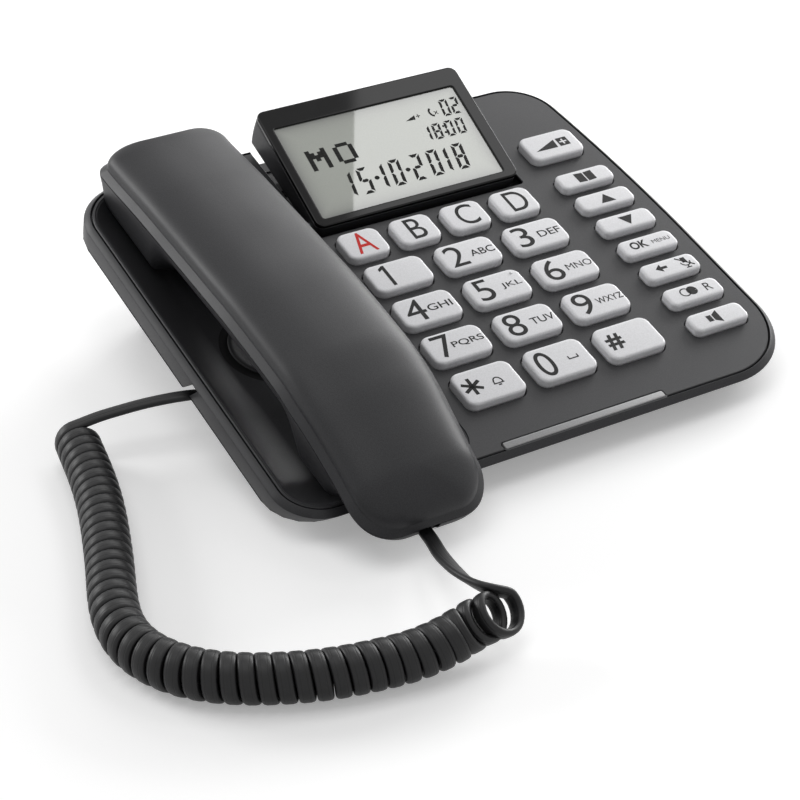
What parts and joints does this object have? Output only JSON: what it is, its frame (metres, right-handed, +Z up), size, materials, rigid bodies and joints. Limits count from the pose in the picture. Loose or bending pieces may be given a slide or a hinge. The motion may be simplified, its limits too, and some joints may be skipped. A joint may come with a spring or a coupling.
{
  "type": "corded telephone",
  "caption": "Sloping desk telephone with large keys, a tilting display, an arched handset lying in its cradle and a curly handset cord.",
  "frame": {"origin": "on the table under the middle of the telephone", "axes": "+X to the right of the person who dials, +Y away from them, +Z up"},
  "size_m": [0.2698, 0.2438, 0.066],
  "materials": {
    "body_plastic": "fine matte grain",
    "under_plastic": "fine matte grain",
    "key_plastic": "satin silver grey with printed black signs",
    "lens_plastic": "polished black",
    "lcd_glass": "grey liquid crystal panel",
    "light_plastic": "satin translucent",
    "plug_plastic": "clear polycarbonate",
    "cord_jacket": "soft satin vinyl",
    "rubber": "matte",
    "board": "solder resist",
    "steel": "plain"
  },
  "bodies": {
    "base": {"top_cover": "body_plastic", "bottom_shell": "body_plastic", "speaker_grille": "under_plastic", "loudspeaker": "steel", "light_bar": "light_plastic", "keypad_mat": "rubber", "main_board": "board", "handset_socket": "under_plastic", "line_socket": "under_plastic", "plug_base": "plug_plastic", "hook_switch": "under_plastic", "ballast_weight": "steel", "foot_1": "rubber", "foot_2": "rubber", "foot_3": "rubber", "foot_4": "rubber", "handset_cord_coil": "cord_jacket", "cord_lead_base": "cord_jacket", "cord_lead_handset": "cord_jacket"},
    "display": {"display_housing": "body_plastic", "display_lens": "lens_plastic", "lcd_panel": "lcd_glass", "display_board": "board", "display_hinge_pin_left": "steel", "display_hinge_pin_right": "steel"},
    "handset": {"handset_bottom_shell": "under_plastic", "handset_top_shell": "body_plastic", "earpiece_grille": "under_plastic", "earpiece_receiver": "steel", "microphone": "steel", "handset_weight": "steel", "handset_jack": "under_plastic", "plug_handset": "plug_plastic"},
    "hook": {"hook_button": "under_plastic"},
    "key_1": {"key_1": "key_plastic"},
    "key_2": {"key_2": "key_plastic"},
    "key_3": {"key_3": "key_plastic"},
    "key_4": {"key_4": "key_plastic"},
    "key_5": {"key_5": "key_plastic"},
    "key_6": {"key_6": "key_plastic"},
    "key_7": {"key_7": "key_plastic"},
    "key_8": {"key_8": "key_plastic"},
    "key_9": {"key_9": "key_plastic"},
    "key_star": {"key_star": "key_plastic"},
    "key_0": {"key_0": "key_plastic"},
    "key_hash": {"key_hash": "key_plastic"},
    "key_a": {"key_a": "key_plastic"},
    "key_b": {"key_b": "key_plastic"},
    "key_c": {"key_c": "key_plastic"},
    "key_d": {"key_d": "key_plastic"},
    "key_book": {"key_book": "key_plastic"},
    "key_up": {"key_up": "key_plastic"},
    "key_down": {"key_down": "key_plastic"},
    "key_ok": {"key_ok": "key_plastic"},
    "key_mute": {"key_mute": "key_plastic"},
    "key_redial": {"key_redial": "key_plastic"},
    "key_speaker": {"key_speaker": "key_plastic"},
    "key_volume": {"key_volume": "key_plastic"}
  },
  "joints": [
    {"name": "display_tilt", "type": "hinge", "parent": "base", "child": "display", "pos_m": [0.01469, 0.0498, 0.03721], "axis": [1, 0, 0], "range_deg": [-13, 20]},
    {"name": "handset_lift", "type": "slide", "parent": "base", "child": "handset", "axis": [0, -0.2236, 0.9747], "range_m": [0, 0.045]},
    {"name": "hook_rise", "type": "slide", "parent": "base", "child": "hook", "axis": [0, -0.2236, 0.9747], "range_m": [0, 0.003]},
    {"name": "key_1_press", "type": "slide", "parent": "base", "child": "key_1", "axis": [0, 0.2236, -0.9747], "range_m": [0, 0.0014], "stiffness_N_per_m": 300},
    {"name": "key_2_press", "type": "slide", "parent": "base", "child": "key_2", "axis": [0, 0.2236, -0.9747], "range_m": [0, 0.0014], "stiffness_N_per_m": 300},
    {"name": "key_3_press", "type": "slide", "parent": "base", "child": "key_3", "axis": [0, 0.2236, -0.9747], "range_m": [0, 0.0014], "stiffness_N_per_m": 300},
    {"name": "key_4_press", "type": "slide", "parent": "base", "child": "key_4", "axis": [0, 0.2236, -0.9747], "range_m": [0, 0.0014], "stiffness_N_per_m": 300},
    {"name": "key_5_press", "type": "slide", "parent": "base", "child": "key_5", "axis": [0, 0.2236, -0.9747], "range_m": [0, 0.0014], "stiffness_N_per_m": 300},
    {"name": "key_6_press", "type": "slide", "parent": "base", "child": "key_6", "axis": [0, 0.2236, -0.9747], "range_m": [0, 0.0014], "stiffness_N_per_m": 300},
    {"name": "key_7_press", "type": "slide", "parent": "base", "child": "key_7", "axis": [0, 0.2236, -0.9747], "range_m": [0, 0.0014], "stiffness_N_per_m": 300},
    {"name": "key_8_press", "type": "slide", "parent": "base", "child": "key_8", "axis": [0, 0.2236, -0.9747], "range_m": [0, 0.0014], "stiffness_N_per_m": 300},
    {"name": "key_9_press", "type": "slide", "parent": "base", "child": "key_9", "axis": [0, 0.2236, -0.9747], "range_m": [0, 0.0014], "stiffness_N_per_m": 300},
    {"name": "key_star_press", "type": "slide", "parent": "base", "child": "key_star", "axis": [0, 0.2236, -0.9747], "range_m": [0, 0.0014], "stiffness_N_per_m": 300},
    {"name": "key_0_press", "type": "slide", "parent": "base", "child": "key_0", "axis": [0, 0.2236, -0.9747], "range_m": [0, 0.0014], "stiffness_N_per_m": 300},
    {"name": "key_hash_press", "type": "slide", "parent": "base", "child": "key_hash", "axis": [0, 0.2236, -0.9747], "range_m": [0, 0.0014], "stiffness_N_per_m": 300},
    {"name": "key_a_press", "type": "slide", "parent": "base", "child": "key_a", "axis": [0, 0.2236, -0.9747], "range_m": [0, 0.0014], "stiffness_N_per_m": 300},
    {"name": "key_b_press", "type": "slide", "parent": "base", "child": "key_b", "axis": [0, 0.2236, -0.9747], "range_m": [0, 0.0014], "stiffness_N_per_m": 300},
    {"name": "key_c_press", "type": "slide", "parent": "base", "child": "key_c", "axis": [0, 0.2236, -0.9747], "range_m": [0, 0.0014], "stiffness_N_per_m": 300},
    {"name": "key_d_press", "type": "slide", "parent": "base", "child": "key_d", "axis": [0, 0.2236, -0.9747], "range_m": [0, 0.0014], "stiffness_N_per_m": 300},
    {"name": "key_book_press", "type": "slide", "parent": "base", "child": "key_book", "axis": [0, 0.2236, -0.9747], "range_m": [0, 0.0014], "stiffness_N_per_m": 300},
    {"name": "key_up_press", "type": "slide", "parent": "base", "child": "key_up", "axis": [0, 0.2236, -0.9747], "range_m": [0, 0.0014], "stiffness_N_per_m": 300},
    {"name": "key_down_press", "type": "slide", "parent": "base", "child": "key_down", "axis": [0, 0.2236, -0.9747], "range_m": [0, 0.0014], "stiffness_N_per_m": 300},
    {"name": "key_ok_press", "type": "slide", "parent": "base", "child": "key_ok", "axis": [0, 0.2236, -0.9747], "range_m": [0, 0.0014], "stiffness_N_per_m": 300},
    {"name": "key_mute_press", "type": "slide", "parent": "base", "child": "key_mute", "axis": [0, 0.2236, -0.9747], "range_m": [0, 0.0014], "stiffness_N_per_m": 300},
    {"name": "key_redial_press", "type": "slide", "parent": "base", "child": "key_redial", "axis": [0, 0.2236, -0.9747], "range_m": [0, 0.0014], "stiffness_N_per_m": 300},
    {"name": "key_speaker_press", "type": "slide", "parent": "base", "child": "key_speaker", "axis": [0, 0.2236, -0.9747], "range_m": [0, 0.0014], "stiffness_N_per_m": 300},
    {"name": "key_volume_press", "type": "slide", "parent": "base", "child": "key_volume", "axis": [0, 0.2236, -0.9747], "range_m": [0, 0.0014], "stiffness_N_per_m": 300}
  ],
  "couplings": [
    {"joint": "hook_rise", "follows": "handset_lift", "ratio": 0.066667}
  ]
}
